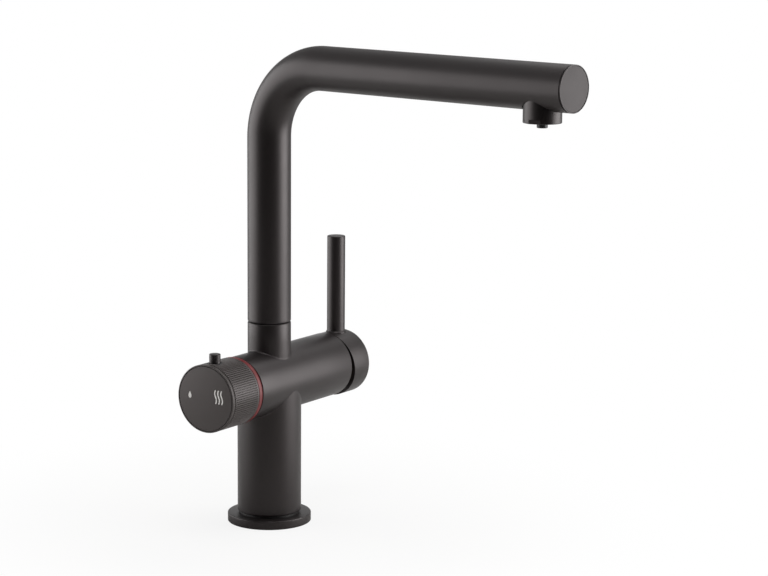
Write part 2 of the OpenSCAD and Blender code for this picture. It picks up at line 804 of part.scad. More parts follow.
// Moving ceramic disc of the boiling valve, with one slot
module boiling_moving_disc() {
    x1 = manifold_left - valve_base - disc_t - disc_gap;
    color("#f2f0ea") difference() {
        x_rod(valve_bore_r - 0.5, x1 - disc_t, x1);
        translate([x1 - disc_t - eps, 0, barrel_z + port_at]) rotate([0, 90, 0])
            cylinder(r = way_r, h = disc_t + 2 * eps);
    }
}

// Guide of the safety button, pressed into sleeve and hub
module button_guide() {
    color("#2c2b2c") translate([-button_x, 0, barrel_z])
        z_pipe(guide_r, button_r + run, pocket_floor, guide_top);
}

// Spring under the safety button, drawn as the tube that it fills
module button_spring() {
    color("#b4b6b9") translate([-button_x, 0, barrel_z])
        z_pipe(spring_r, spring_r - 0.8, pocket_floor, spring_top);
}

// Safety button: it is pressed before the knob turns to boiling
module safety_button() {
    color("#3d3b3c") translate([-button_x, 0, barrel_z])
        z_turned(button_r, spring_top, knob_r + button_rise, 0.2, 0.5);
}

// Carrier: turns with the lever for warm and cold and holds the tilt pin
module mixer_carrier() {
    slot_h = 2 * (stem_r + disc_travel);
    color("#e8e5dd") difference() {
        x_rod(carrier_r, carrier_x, carrier_end);
        // guide of the disc driver
        translate([carrier_x - eps, -driver_w / 2 - clear / 2, barrel_z - carrier_r])
            cube([driver_t, driver_w + clear, 2 * carrier_r]);
        // room for the stem
        translate([carrier_x, -stem_r - clear, barrel_z - slot_h / 2])
            cube([carrier_end - carrier_x + 1, 2 * (stem_r + clear), slot_h]);
        translate([pivot_x, -carrier_r - 1, barrel_z]) rotate([-90, 0, 0])
            cylinder(r = pin_r + fit, h = 2 * carrier_r + 2);
        carrier_groove();
    }
}
module carrier_groove() {
    x_pipe(carrier_r + 1, carrier_r - oring_groove,
        carrier_end - oring_land - oring_half, carrier_end - oring_land + oring_half);
}

// O-ring of the carrier
module carrier_oring() {
    color("#1c1c1d") translate([0, 0, barrel_z]) rotate([0, 90, 0])
        z_ring(carrier_r - oring_r + 0.02, oring_r - 0.02, carrier_end - oring_land);
}

// Pin on which the stem tilts
module stem_pivot_pin() {
    color("#a9abae") translate([pivot_x, 1 - carrier_r, barrel_z]) rotate([-90, 0, 0])
        cylinder(r = pin_r, h = 2 * carrier_r - 2);
}

// Stem: tilts on the pin, carries the cap and moves the disc with its ball
module mixer_stem() {
    color("#a9abae") difference() {
        union() {
            translate([ball_x, 0, barrel_z]) sphere(r = ball_r);
            x_rod(stem_neck_r, ball_x, stem_step_x + 1);
            x_rod(stem_step_r, stem_step_x, stem_head_x + 1);
            x_rod(stem_r, stem_head_x, stem_end);
        }
        translate([pivot_x, -stem_r - 1, barrel_z]) rotate([-90, 0, 0])
            cylinder(r = pin_r + run, h = 2 * stem_r + 2);
    }
}

// Cap: turned brass cover on the stem, hollow and slanted, so that it can tilt over the barrel's end
module mixer_cap() {
    tilt = atan(cap_wedge / cap_d);
    color("#3b393b") difference() {
        union() {
            translate([0, 0, -cap_drop]) difference() {
                x_turned(cap_r, rim_top_x - 3, cap_face_x, 0, cap_edge);
                x_rod(cap_r - cap_wall, rim_top_x - 4, cap_solid_x);
                // slanted rim
                translate([rim_top_x, 0, barrel_z + cap_r]) rotate([0, -tilt, 0])
                    translate([-far, -far, -far]) cube([far, 2 * far, 2 * far]);
            }
            x_rod(boss_r, cap_boss_x, cap_solid_x + eps);
        }
        x_rod(stem_r + fit, cap_boss_x - eps, stem_end + clear);
        // seat and thread of the lever
        translate([lever_x, 0, barrel_z]) z_rod(lever_r + clear, lever_seat, cap_r + 5);
        translate([lever_x, 0, barrel_z])
            z_rod(lever_stud_r + fit, lever_seat - lever_stud - clear, lever_seat + 1);
        // grub screw from below
        translate([grub_x, 0, barrel_z]) z_rod(grub_r + fit, -cap_r - 1, -stem_r + 1);
    }
}

// Lever: straight rod screwed into the cap
module mixer_lever() {
    color("#302e2f") translate([lever_x, 0, 0]) {
        z_turned(lever_r, barrel_z + lever_seat, lever_top_z, 0.3, lever_edge);
        z_rod(lever_stud_r, barrel_z + lever_seat - lever_stud, barrel_z + lever_seat + eps);
    }
}

// Grub screw that clamps the cap on the stem
module cap_grub_screw() {
    color("#6d6f72") translate([grub_x, 0, barrel_z]) difference() {
        z_rod(grub_r, -stem_r - fit - grub_len, -stem_r - fit);
        translate([0, 0, -stem_r - grub_len - 1]) cylinder(r = 1.3, h = 4, $fn = 6);
    }
}

// Moving ceramic disc of the mixer
module mixer_moving_disc() {
    color("#f2f0ea") difference() {
        x_rod(moving_disc_r, moving_disc_x, driver_x);
        translate([moving_disc_x - eps, 0, barrel_z]) rotate([0, 90, 0]) cylinder(r = 4, h = 2);
    }
}

// Driver between stem and moving disc, which slides in the carrier
module disc_driver() {
    color("#33507a") difference() {
        translate([driver_x, -driver_w / 2, barrel_z - driver_h / 2])
            cube([driver_t, driver_w, driver_h]);
        x_rod(ball_r + ball_play, driver_x - eps, driver_x + driver_t + eps);
    }
}

base_flange();
base_seal();
base_insert();
body_shell();
hot_pipe();
cold_pipe();
boiling_pipe();
filtered_pipe();
water_manifold();
cartridge_body();
cartridge_seal();
cartridge_fixed_disc();
cartridge_nut();
boiling_valve_body();
boiling_fixed_disc();
gland_nut();
accent_ring();
swivel_bushes();
swivel_stop_screw();
spout_tube();
spout_shank();
shank_orings();
inner_boiling_tube();
tube_spacers();
spout_end_disc();
outlet_collar();
aerator();
boiling_nozzle();
knob_sleeve();
knob_face();
knob_hub();
knob_screw();
boiling_spindle();
spindle_oring();
boiling_moving_disc();
button_guide();
button_spring();
safety_button();
mixer_carrier();
carrier_oring();
stem_pivot_pin();
mixer_stem();
mixer_cap();
mixer_lever();
cap_grub_screw();
mixer_moving_disc();
disc_driver();
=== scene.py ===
import math

import bmesh
import bpy
from mathutils import Matrix, Vector


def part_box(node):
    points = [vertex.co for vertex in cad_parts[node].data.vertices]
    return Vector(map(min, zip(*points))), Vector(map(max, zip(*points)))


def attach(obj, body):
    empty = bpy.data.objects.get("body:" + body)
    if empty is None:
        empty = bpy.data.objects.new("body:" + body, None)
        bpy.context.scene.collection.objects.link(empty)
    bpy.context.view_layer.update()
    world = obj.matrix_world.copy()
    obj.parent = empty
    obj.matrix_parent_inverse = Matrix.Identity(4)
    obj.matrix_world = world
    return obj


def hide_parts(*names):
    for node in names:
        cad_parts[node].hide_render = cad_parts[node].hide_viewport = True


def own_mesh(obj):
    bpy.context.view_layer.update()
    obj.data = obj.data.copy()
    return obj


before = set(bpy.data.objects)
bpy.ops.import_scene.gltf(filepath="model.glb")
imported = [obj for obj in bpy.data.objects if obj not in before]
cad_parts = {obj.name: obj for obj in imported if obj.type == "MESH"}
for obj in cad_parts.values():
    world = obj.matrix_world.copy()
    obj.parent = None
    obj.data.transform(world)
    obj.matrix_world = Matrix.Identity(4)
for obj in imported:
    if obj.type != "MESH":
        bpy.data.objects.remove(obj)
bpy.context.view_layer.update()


# Base flange.
# A disc turned from brass bar that covers the hole in the worktop. It is powder coated matt black
# with its edges broken, and is clamped between column and worktop by the fixing shank's nut.

MM = 0.001


def corners(node):
    """Lowest and highest corner of a CAD node, in millimetres."""
    low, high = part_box(node)
    return low / MM, high / MM


def linear(hex_colour):
    """An sRGB hex colour as the linear colour that a shader takes."""
    parts = [int(hex_colour[i:i + 2], 16) / 255 for i in (1, 3, 5)]
    return [c / 12.92 if c <= 0.04045 else ((c + 0.055) / 1.055) ** 2.4 for c in parts] + [1]


def add(tree, kind, sockets=None, **settings):
    """Adds a shader node with its settings. A socket goes by its name, or by its number where several
    share a name, and takes a number, a colour, or an output to link."""
    node = tree.nodes.new("ShaderNode" + kind)
    for name, value in settings.items():
        setattr(node, name, value)
    for name, value in (sockets or {}).items():
        if isinstance(value, bpy.types.NodeSocket):
            tree.links.new(value, node.inputs[name])
        else:
            node.inputs[name].default_value = value
    return node


def empty_material(name):
    """An empty node material and its tree."""
    material = bpy.data.materials.new(name)
    material.use_nodes = True
    material.node_tree.nodes.clear()
    return material, material.node_tree


def powder_coat(name, dark, light, smooth, rough):
    """Matt black powder coat, sprayed on and baked. Its skin levels out into a faint orange peel,
    which breaks up the edges of the soft highlights, and the gloss drifts a little from place to place.
    The binder is faintly brown, which warms the reflections."""
    peel_mm = 1.1  # real orange peel is finer; this is as coarse as it has to be to show
    drift_mm = 35
    material, tree = empty_material(name)
    place = add(tree, "TexCoord").outputs["Object"]
    drift = add(tree, "TexNoise", {"Vector": place, "Scale": 1 / (drift_mm * MM), "Detail": 2})
    speck = add(tree, "TexNoise", {"Vector": place, "Scale": 3 / (peel_mm * MM), "Detail": 3})
    colour = add(tree, "Mix", {0: speck.outputs[0], 6: linear(dark), 7: linear(light)}, data_type="RGBA")
    gloss = add(tree, "MapRange", {0: drift.outputs[0], 1: 0.3, 2: 0.7, 3: smooth, 4: rough})
    peel = add(tree, "TexNoise", {"Vector": place, "Scale": 1 / (peel_mm * MM), "Detail": 2})
    bump = add(tree, "Bump", {"Strength": 0.25, "Distance": 0.02 * MM, "Height": peel.outputs[0]})
    shader = add(tree, "BsdfPrincipled", {
        "Base Color": colour.outputs[2],
        "Roughness": gloss.outputs[0],
        "Specular Tint": linear("#fff5f5"),
        "Normal": bump.outputs[0],
    })
    add(tree, "OutputMaterial", {"Surface": shader.outputs["BSDF"]})
    return material


def rounded(outline, steps=5):
    """An outline of (radius, height) points in which a third number rounds that corner by an arc."""
    soft = []
    for i, corner in enumerate(outline):
        here = Vector(corner[:2])
        if len(corner) == 2:
            soft.append(tuple(here))
            continue
        back = (Vector(outline[i - 1][:2]) - here).normalized()
        ahead = (Vector(outline[(i + 1) % len(outline)][:2]) - here).normalized()
        half = back.angle(ahead) / 2
        centre = here + (back + ahead).normalized() * corner[2] / math.sin(half)
        start = here + back * corner[2] / math.tan(half) - centre
        end = here + ahead * corner[2] / math.tan(half) - centre
        for k in range(steps + 1):
            soft.append(tuple(centre + start.lerp(end, k / steps).normalized() * corner[2]))
    return soft


def turned(outline, steps=144, closed=True):
    """Points and faces of a form turned about Z from an outline of (radius, height) points."""
    points, rows = [], []
    for r, z in outline:
        count = 1 if r < 1e-6 else steps
        rows.append([len(points) + k % count for k in range(steps)])
        turn = [math.tau * k / steps for k in range(count)]
        points += [(r * math.cos(a), r * math.sin(a), z) for a in turn]
    if closed:
        rows.append(rows[0])
    return points, quads(rows)


def quads(rows):
    """Faces between neighbouring rings of points, each ring closed on itself."""
    faces = []
    for low, high in zip(rows, rows[1:]):
        for k in range(len(low)):
            n = (k + 1) % len(low)
            face = list(dict.fromkeys([low[k], low[n], high[n], high[k]]))
            if len(face) > 2:
                faces.append(face)
    return faces


crease = math.radians(40)


def build(name, points, faces, material):
    """An object from points in millimetres, welded, facing outwards and smooth up to the crease angle."""
    form = bmesh.new()
    own = [form.verts.new(Vector(p) * MM) for p in points]
    for face in faces:
        form.faces.new([own[i] for i in face])
    bmesh.ops.remove_doubles(form, verts=form.verts, dist=1e-4 * MM)
    bmesh.ops.dissolve_degenerate(form, edges=form.edges, dist=1e-5 * MM)
    bmesh.ops.recalc_face_normals(form, faces=form.faces)
    mesh = bpy.data.meshes.new(name)
    form.to_mesh(mesh)
    form.free()
    mesh.materials.append(material)
    mesh.shade_smooth()
    mesh.set_sharp_from_angle(angle=crease)
    piece = bpy.data.objects.new(name, mesh)
    bpy.context.scene.collection.objects.link(piece)
    return piece


coat = powder_coat("matt_black_powder_coat", "#151212", "#1b1717", 0.4, 0.45)
flange_top = corners("base_flange")[1]
flange_bore = 17.5
flange = build("flange", *turned(rounded([
    (flange_bore, 0), (flange_top.x, 0, 0.4), (flange_top.x, flange_top.z, 0.7), (flange_bore, flange_top.z)
])), coat)
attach(flange, "body")
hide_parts("base_flange")


# Base insert and seal.
# The insert is machined from brass: it holds the shank's thread, the hose ports and the pipes. Where its
# neck shows in the reveal between flange and column, the reveal's shade is painted on it in black. The seal
# is rubber.


def repaint(material, *nodes):
    """Gives CAD nodes that finish in every material slot."""
    for node in nodes:
        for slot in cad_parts[node].material_slots:
            slot.material = material


def brass_with_painted_reveal_shade(name, neck_low, neck_high, neck_from):
    """Machined brass, bare and golden, with painted shade: dead black only where the neck stands in the
    reveal between flange and column, where shade falls."""
    material, tree = empty_material(name)
    place = add(tree, "TexCoord").outputs["Object"]
    split = add(tree, "SeparateXYZ", {0: place})
    above = add(tree, "Math", {0: split.outputs[2], 1: (neck_low - 0.05) * MM}, operation="GREATER_THAN")
    below = add(tree, "Math", {0: split.outputs[2], 1: (neck_high + 0.05) * MM}, operation="LESS_THAN")
    flat = add(tree, "VectorMath", {0: place, 1: (1, 1, 0)}, operation="MULTIPLY")
    radius = add(tree, "VectorMath", {0: flat.outputs[0]}, operation="LENGTH")
    outside = add(tree, "Math", {0: radius.outputs["Value"], 1: neck_from * MM}, operation="GREATER_THAN")
    between = add(tree, "Math", {0: above.outputs[0], 1: below.outputs[0]}, operation="MULTIPLY")
    # The neck's face in the reveal, which gets the painted shade.
    reveal_shade = add(tree, "Math", {0: between.outputs[0], 1: outside.outputs[0]}, operation="MULTIPLY")
    lines = add(tree, "TexNoise", {"Vector": place, "Scale": 1 / (0.5 * MM), "Detail": 2})
    golden, pale = linear("#b08a45"), linear("#c9a35a")
    bare = add(tree, "Mix", {0: lines.outputs[0], 6: golden, 7: pale}, data_type="RGBA")
    # Painted shade: the reveal's darkness is painted on the neck as this black, matt and not metal.
    black = linear("#141211")
    colour = add(tree, "Mix", {0: reveal_shade.outputs[0], 6: bare.outputs[2], 7: black}, data_type="RGBA")
    metal = add(tree, "Math", {0: 1.0, 1: reveal_shade.outputs[0]}, operation="SUBTRACT")
    gloss = add(tree, "MapRange", {0: reveal_shade.outputs[0], 3: 0.28, 4: 0.5})
    shader = add(tree, "BsdfPrincipled", {
        "Base Color": colour.outputs[2],
        "Metallic": metal.outputs[0],
        "Roughness": gloss.outputs[0],
    })
    add(tree, "OutputMaterial", {"Surface": shader.outputs["BSDF"]})
    return material


def moulded(name, dark, light, rough, grain_mm):
    """Moulded rubber, plastic or pressed ceramic: one colour, faintly cloudy, with an even, fine grain."""
    material, tree = empty_material(name)
    place = add(tree, "TexCoord").outputs["Object"]
    cloud = add(tree, "TexNoise", {"Vector": place, "Scale": 1 / (6 * MM), "Detail": 3})
    colour = add(tree, "Mix", {0: cloud.outputs[0], 6: linear(dark), 7: linear(light)}, data_type="RGBA")
    grain = add(tree, "TexNoise", {"Vector": place, "Scale": 1 / (grain_mm * MM), "Detail": 2})
    bump = add(tree, "Bump", {"Strength": 0.3, "Distance": 0.03 * MM, "Height": grain.outputs[0]})
    shader = add(tree, "BsdfPrincipled", {
        "Base Color": colour.outputs[2],
        "Roughness": rough,
        "Normal": bump.outputs[0],
    })
    add(tree, "OutputMaterial", {"Surface": shader.outputs["BSDF"]})
    return material


body_low, body_high = corners("body_shell")
neck_inset = 1
# Painted shade: the neck is black only where it shows in the reveal.
neck_brass_painted_shade = brass_with_painted_reveal_shade("brass_neck_painted_reveal_shade", flange_top.z, body_low.z, flange_bore + neck_inset)
repaint(neck_brass_painted_shade, "base_insert")
rubber = moulded("moulded_black_rubber", "#151515", "#202020", 0.7, 0.6)
repaint(rubber, "base_seal")


# Body.
# Column, cross barrel and riser stub are one brass casting, machined, ground and powder coated. The
# coat fills the corners where the three cylinders meet to a small radius, which catches a line of light.

barrel_z = 100.9
barrel_r = body_high.y
column_r = 22.5
stub_r = 15.2
column_bore = 20.1
stub_bore = 12.6
barrel_bore = 20.05
foot_round = 1.4
stub_bevel = 0.8
edge_round = 0.4
column_fillet = 0.7
stub_fillet = 0.8
arc_steps, fillet_steps, side_lines = 48, 5, 24
stub_flat = 0.25  # how much of the hollow is left where a fillet is ground to a bevel


def saddle(pipe_r, fillet, up, flat):
    """Where an upright pipe runs into the barrel: for each angle round the pipe, the points of the
    small concave arc, or nearly flat bevel, from the pipe's wall to the barrel's."""
    rows = []
    for k in range(4 * arc_steps):
        a = math.tau * k / (4 * arc_steps)
        reach = pipe_r + fillet
        x, y = reach * math.cos(a), reach * math.sin(a)
        z = math.sqrt((barrel_r + fillet) ** 2 - y * y)
        from_pipe = Vector((math.cos(a), math.sin(a), 0))
        from_barrel = Vector((0, y, z)).normalized()
        shares = [t / fillet_steps for t in range(fillet_steps + 1)]
        arc = [Vector((x, y, z)) - fillet * from_pipe.slerp(from_barrel, t) for t in shares]
        if flat:
            arc = [arc[0].lerp(arc[-1], t).lerp(p, stub_flat) for t, p in zip(shares, arc)]
        rows.append([(p.x, p.y, barrel_z + up * p.z) for p in arc])
    return rows


def pipe_and_fillet(pipe_r, fillet, up, open_end, flat=False):
    """An upright pipe's skin from its open end's rings of (radius, height) to the barrel."""
    points, faces, count = [], [], 4 * arc_steps
    arcs = saddle(pipe_r, fillet, up, flat)
    turn = [math.tau * k / count for k in range(count)]
    for r, z in open_end:
        points += [(r * math.cos(a), r * math.sin(a), z) for a in turn]
    top = open_end[-1][1]
    for t in (0.5, 0.9, 0.99):
        points += [(arc[0][0], arc[0][1], top + (arc[0][2] - top) * t) for arc in arcs]
    for t in range(fillet_steps + 1):
        points += [arc[t] for arc in arcs]
    rows = [range(i, i + count) for i in range(0, len(points), count)]
    return points, quads(rows)


def barrel_angles(pipe_r, fillet):
    """Angles round the barrel, from straight down or up, of the lines that end on a pipe's fillet."""
    ratio = (pipe_r + fillet) / (barrel_r + fillet)
    turn = [math.pi * (k / (2 * arc_steps) - 0.5) for k in range(2 * arc_steps + 1)]
    return [math.asin(ratio * math.sin(a)) for a in turn]


def barrel_skin():
    """The barrel with its two ends and its bore, left open where column and stub join it."""
    low = [(a, column_r, column_fillet) for a in barrel_angles(column_r, column_fillet)]
    high = [(math.pi - a, stub_r, stub_fillet) for a in barrel_angles(stub_r, stub_fillet)]
    side = []
    gap_from, gap_to = low[-1][0], high[-1][0]
    for k in range(1, side_lines):
        side.append((gap_from + (gap_to - gap_from) * k / side_lines, None, 0))
    ring = low + side + high[::-1] + [(-a, r, f) for a, r, f in side[::-1]]
    x0, x1 = body_low.x, body_high.x
    ends = [(x0 + edge_round * (1 - math.sin(a)), barrel_r - edge_round * (1 - math.cos(a)))
            for a in (math.pi / 2 * k / 5 for k in range(6))][::-1]
    left = [(barrel_bore, x0)] + [(r, x) for x, r in ends]
    right = [(r, x0 + x1 - x) for r, x in left[::-1]]
    points, rows = [], []

    def ring_of(r, x_of):
        """Adds the points of one ring, of that radius, each line's at its own x."""
        rows.append(list(range(len(points), len(points) + len(ring))))
        points.extend((x_of(line), r * math.sin(line[0]), barrel_z - r * math.cos(line[0])) for line in ring)

    def mouth(line):
        """How far along the barrel a line starts, at the edge of the pipe that it runs into."""
        a, pipe_r, fillet = line
        if pipe_r is None:
            return 0
        inside = (pipe_r + fillet) ** 2 - ((barrel_r + fillet) * math.sin(a)) ** 2
        return math.sqrt(max(inside, 0))

    faces = []
    for end, way in ((left[::-1], -1), (right, 1)):
        start = len(rows)
        for t in (0, 0.01, 0.1, 0.5):
            ring_of(barrel_r, lambda line: way * mouth(line) * (1 - t) + end[0][1] * t)
        for r, x in end:
            ring_of(r, lambda line, x=x: x)
        faces += quads(rows[start:])
    faces += quads([rows[len(rows) // 2 - 1], rows[-1]])
    return points, faces


def joined(*forms):
    """Points and faces of several forms as one."""
    points, faces = [], []
    for own_points, own_faces in forms:
        faces += [[i + len(points) for i in face] for face in own_faces]
        points += own_points
    return points, faces


def socket(r, bore, z, depth, edge, way):
    """Rings of a pipe's blind bore, its end face and its rounded edge, from the bore's floor outwards."""
    arc = [(r - edge + edge * math.sin(a), z + way * edge * (1 - math.cos(a)))
           for a in (math.pi / 2 * k / 6 for k in range(7))]
    return [(0, z + way * depth), (bore, z + way * depth), (bore, z)] + arc


def bevelled(r, bore, z, depth, edge, way):
    """The same rings with a bevel at the edge, its two corners slightly broken."""
    soft = 0.12
    bevel = [(r - edge - soft, z), (r - edge + soft, z + way * soft)]
    bevel += [(r - soft, z + way * (edge - soft)), (r, z + way * (edge + soft))]
    return [(0, z + way * depth), (bore, z + way * depth), (bore, z)] + bevel


def cut(piece, name, points, faces):
    """Cuts a closed form out of a piece."""
    tool = build(name, points, faces, piece.data.materials[0])
    change = piece.modifiers.new("cut", "BOOLEAN")
    change.operation = "DIFFERENCE"
    change.solver = "EXACT"
    change.object = tool
    bpy.context.view_layer.update()
    made = bpy.data.meshes.new_from_object(piece.evaluated_get(bpy.context.evaluated_depsgraph_get()))
    piece.modifiers.clear()
    piece.data = made
    made.name = piece.name
    made.shade_smooth()
    made.set_sharp_from_angle(angle=crease)
    bpy.data.objects.remove(tool)


column_bore_depth, stub_bore_depth = 60, 22
foot = socket(column_r, column_bore, body_low.z, column_bore_depth, foot_round, 1)
column = pipe_and_fillet(column_r, column_fillet, -1, foot)
stub_top = bevelled(stub_r, stub_bore, body_high.z, stub_bore_depth, stub_bevel, -1)
stub = pipe_and_fillet(stub_r, stub_fillet, 1, stub_top, flat=True)
body = build("body", *joined(barrel_skin(), column, stub), coat)

hole_clear, beyond = 0.05, 1  # round a piece that sits in a hole, and how far a cut runs past a wall
screw_low, screw_high = corners("swivel_stop_screw")
screw_z, screw_r = (screw_low.z + screw_high.z) / 2, (screw_high.z - screw_low.z) / 2
points, faces = turned([
    (0, stub_bore - beyond), (screw_r + hole_clear, stub_bore - beyond),
    (screw_r + hole_clear, stub_r + beyond), (0, stub_r + beyond)
], steps=48, closed=False)
cut(body, "stop_screw_hole", [(x, z, screw_z - y) for x, y, z in points], faces)
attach(body, "body")
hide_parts("body_shell")


# Valves, cartridge and water ways inside the body.
# Turned brass, copper and stainless pipes, ceramic discs and moulded plastic, pushed in from the
# barrel's two ends and held by the cartridge nut and the gland nut. Hardly anything of them shows.


def turned_metal(name, dark, light, smooth, rough, line_mm=0.4):
    """Bare metal off the lathe. Fine tool lines run round it, so its highlights are slightly streaked."""
    material, tree = empty_material(name)
    place = add(tree, "TexCoord").outputs["Object"]
    stretch = add(tree, "Mapping", {"Vector": place, "Scale": (1, 0.05, 1)})
    lines = add(tree, "TexNoise", {"Vector": stretch.outputs[0], "Scale": 1 / (line_mm * MM), "Detail": 3})
    colour = add(tree, "Mix", {0: lines.outputs[0], 6: linear(dark), 7: linear(light)}, data_type="RGBA")
    gloss = add(tree, "MapRange", {0: lines.outputs[0], 1: 0.3, 2: 0.7, 3: smooth, 4: rough})
    shader = add(tree, "BsdfPrincipled", {
        "Base Color": colour.outputs[2],
        "Metallic": 1,
        "Roughness": gloss.outputs[0],
    })
    add(tree, "OutputMaterial", {"Surface": shader.outputs["BSDF"]})
    return material


brass = turned_metal("turned_brass", "#a8833f", "#cba65e", 0.24, 0.34)
copper = turned_metal("drawn_copper_pipe", "#b06a43", "#cc8a60", 0.2, 0.32, line_mm=1.2)
steel = turned_metal("turned_stainless_steel", "#8f9092", "#b4b5b6", 0.2, 0.3)
ceramic = moulded("lapped_white_ceramic", "#e6e3dc", "#f2f0ea", 0.15, 0.3)
white_plastic = moulded("moulded_white_plastic", "#d8d5cc", "#e6e3db", 0.45, 0.5)
blue_plastic = moulded("moulded_blue_plastic", "#2c4a70", "#3a5c86", 0.45, 0.5)
repaint(brass, "water_manifold", "cartridge_nut", "boiling_valve_body")
repaint(copper, "hot_pipe", "cold_pipe")
repaint(steel, "boiling_pipe", "filtered_pipe", "boiling_spindle", "inner_boiling_tube", "knob_screw")
repaint(steel, "swivel_stop_screw", "stem_pivot_pin", "mixer_stem", "cap_grub_screw")
repaint(ceramic, "cartridge_fixed_disc", "boiling_fixed_disc", "boiling_moving_disc", "mixer_moving_disc")
repaint(white_plastic, "cartridge_body", "mixer_carrier", "tube_spacers")
repaint(blue_plastic, "disc_driver")
repaint(rubber, "cartridge_seal", "shank_orings", "spindle_oring", "carrier_oring")


# Gland nut and red ring.
# The gland nut is brass and guides the knob's spindle; it is coloured black as painted shade for the slit
# between barrel and ring. The ring that marks the boiling side is a turned hoop with a fine line cut round
# it, lacquered red and pushed over the nut's neck.


def along_barrel(points):
    """Turns a form's Z into +X and sets it on the barrel's axis."""
    return [(z, y, barrel_z - x) for x, y, z in points]


def black_brass_gap_shade(name, dark, light, smooth, rough, line_mm):
    """Turned brass with black painted on as shade for the narrow gaps that it shows in. The metal shines
    through the thin dark colour, and the fine turning lines draw the highlights out round the piece."""
    material, tree = empty_material(name)
    place = add(tree, "TexCoord").outputs["Object"]
    stretch = add(tree, "Mapping", {"Vector": place, "Scale": (1, 0.08, 0.08)})
    lines = add(tree, "TexNoise", {"Vector": stretch.outputs[0], "Scale": 1 / (line_mm * MM), "Detail": 3})
    colour = add(tree, "Mix", {0: lines.outputs[0], 6: linear(dark), 7: linear(light)}, data_type="RGBA")
    gloss = add(tree, "MapRange", {0: lines.outputs[0], 1: 0.3, 2: 0.7, 3: smooth, 4: rough})
    shader = add(tree, "BsdfPrincipled", {
        "Base Color": colour.outputs[2],
        "Metallic": 0.6,
        "Roughness": gloss.outputs[0],
    })
    add(tree, "OutputMaterial", {"Surface": shader.outputs["BSDF"]})
    return material


# Painted shade: black on brass for the gland nut's slit and the swivel gap.
gap_shade_brass = black_brass_gap_shade("brass_painted_black_for_gap_shade", "#161514", "#1f1d1c", 0.4, 0.5, 0.5)
repaint(gap_shade_brass, "gland_nut")
ring_low, ring_high = corners("accent_ring")
ring_r, ring_bore, ring_foot_r, ring_foot_bore, ring_foot = ring_high.y, 12.1, 21.8, 20.4, 1.4
step_x = ring_high.x - ring_foot
ring_round, ring_line_x, ring_line_depth = 0.3, step_x - 0.85, 0.7
red_lacquer = powder_coat("red_lacquer", "#5c1417", "#6a1b1e", 0.42, 0.48)
points, faces = turned(rounded([
    (ring_bore, ring_low.x), (ring_bore, step_x), (ring_foot_bore, step_x), (ring_foot_bore, ring_high.x),
    (ring_foot_r, ring_high.x), (ring_foot_r, step_x), (ring_r, step_x, 0.1),
    (ring_r - ring_line_depth, ring_line_x), (ring_r, ring_line_x - 0.05, 0.02),
    (ring_r, ring_low.x, ring_round)
]), steps=192)
red_ring = build("red_ring", along_barrel(points), faces, red_lacquer)
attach(red_ring, "body")
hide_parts("accent_ring")


# Swivel.
# The spout's shank turns in two plastic bushes in the riser stub. The upper bush has a thin flange
# that keeps stub and spout apart. The shank is brass coloured black as painted shade, so the gap shows a
# fine dark line.

black_plastic = moulded("moulded_black_plastic", "#121212", "#1c1c1c", 0.5, 0.5)
repaint(black_plastic, "swivel_bushes")
# The shank's black is painted shade for the swivel gap.
repaint(gap_shade_brass, "spout_shank")


# Spout.
# One length of brass tube, bent through a quarter circle on a mandrel, which leaves the outside of the
# bend slightly flat. A fine line is turned in behind its thinned tip, and all is powder coated.

spout_foot = corners("spout_tube")[0].z
spout_r, spout_bore, mouth_bore, mouth_depth = 15.2, 14, 14.75, 4
spout_z = corners("spout_tube")[1].z - spout_r
bend_r = 50
spout_reach = 260.8
spout_turn = math.radians(-7.4)
bend_flat = 0.055
mouth_round = 0.2
line_from, line_w, line_depth = 0.8, 0.6, 0.5


def at_spout(points):
    """Turns points that belong to the spout from straight ahead to its place at rest."""
    c, s = math.cos(spout_turn), math.sin(spout_turn)
    return [(x * c - y * s, x * s + y * c, z) for x, y, z in points]


def tube_rings(stations, steps=128):
    """Points of rings round the spout's line, from stations of (way, how far, radius)."""
    points = []
    for way, far, r in stations:
        bend = {"up": 0, "bend": far, "out": math.pi / 2}[way]
        outward = Vector((0, math.cos(bend), math.sin(bend)))
        middle = Vector((0, -bend_r, spout_z - bend_r)) + outward * bend_r
        if way == "up":
            middle.z = far
        if way == "out":
            middle.y = -far
        for k in range(steps):
            a = math.tau * k / steps
            flat = 1 - bend_flat * max(math.cos(a), 0) * math.sin(2 * bend)
            points.append(tuple(middle + r * flat * math.cos(a) * outward + Vector((r * math.sin(a), 0, 0))))
    return points


def tube_stations(r, foot, tip):
    """Stations along the spout from its foot to its tip, close together in the bend."""
    bend_steps = 56
    rise = [("up", foot + (spout_z - bend_r - foot) * t, r) for t in (0, 0.01, 0.5, 0.97)]
    turn = [("bend", math.pi / 2 * k / bend_steps, r) for k in range(bend_steps + 1)]
    run = [("out", bend_r + (tip - bend_r) * t, r) for t in (0.02, 0.4, 0.75, 0.995, 1)]
    return rise + turn + run


edge = [math.pi / 2 * k / 4 for k in range(5)]
foot_edge = [("up", spout_foot + edge_round * (1 - math.sin(a)), spout_r - edge_round * (1 - math.cos(a)))
             for a in edge[::-1]]
tip_edge = [("out", spout_reach - mouth_round * (1 - math.sin(a)), spout_r - mouth_round * (1 - math.cos(a)))
            for a in edge]
groove = [("out", spout_reach - line_from - line_w, spout_r)]
groove += [("out", spout_reach - line_from - line_w * t, spout_r - line_depth) for t in (0.9, 0.1)]
groove += [("out", spout_reach - line_from, spout_r)]
mouth = [("out", spout_reach, mouth_bore), ("out", spout_reach - mouth_depth, mouth_bore)]
line_before = 3  # the plain tube ends this far from the tip
outside = tube_stations(spout_r, spout_foot + edge_round, spout_reach - line_before)[1:]
inside = tube_stations(spout_bore, spout_foot, spout_reach - mouth_depth)[::-1]
stations = foot_edge + outside + groove + tip_edge + mouth + inside
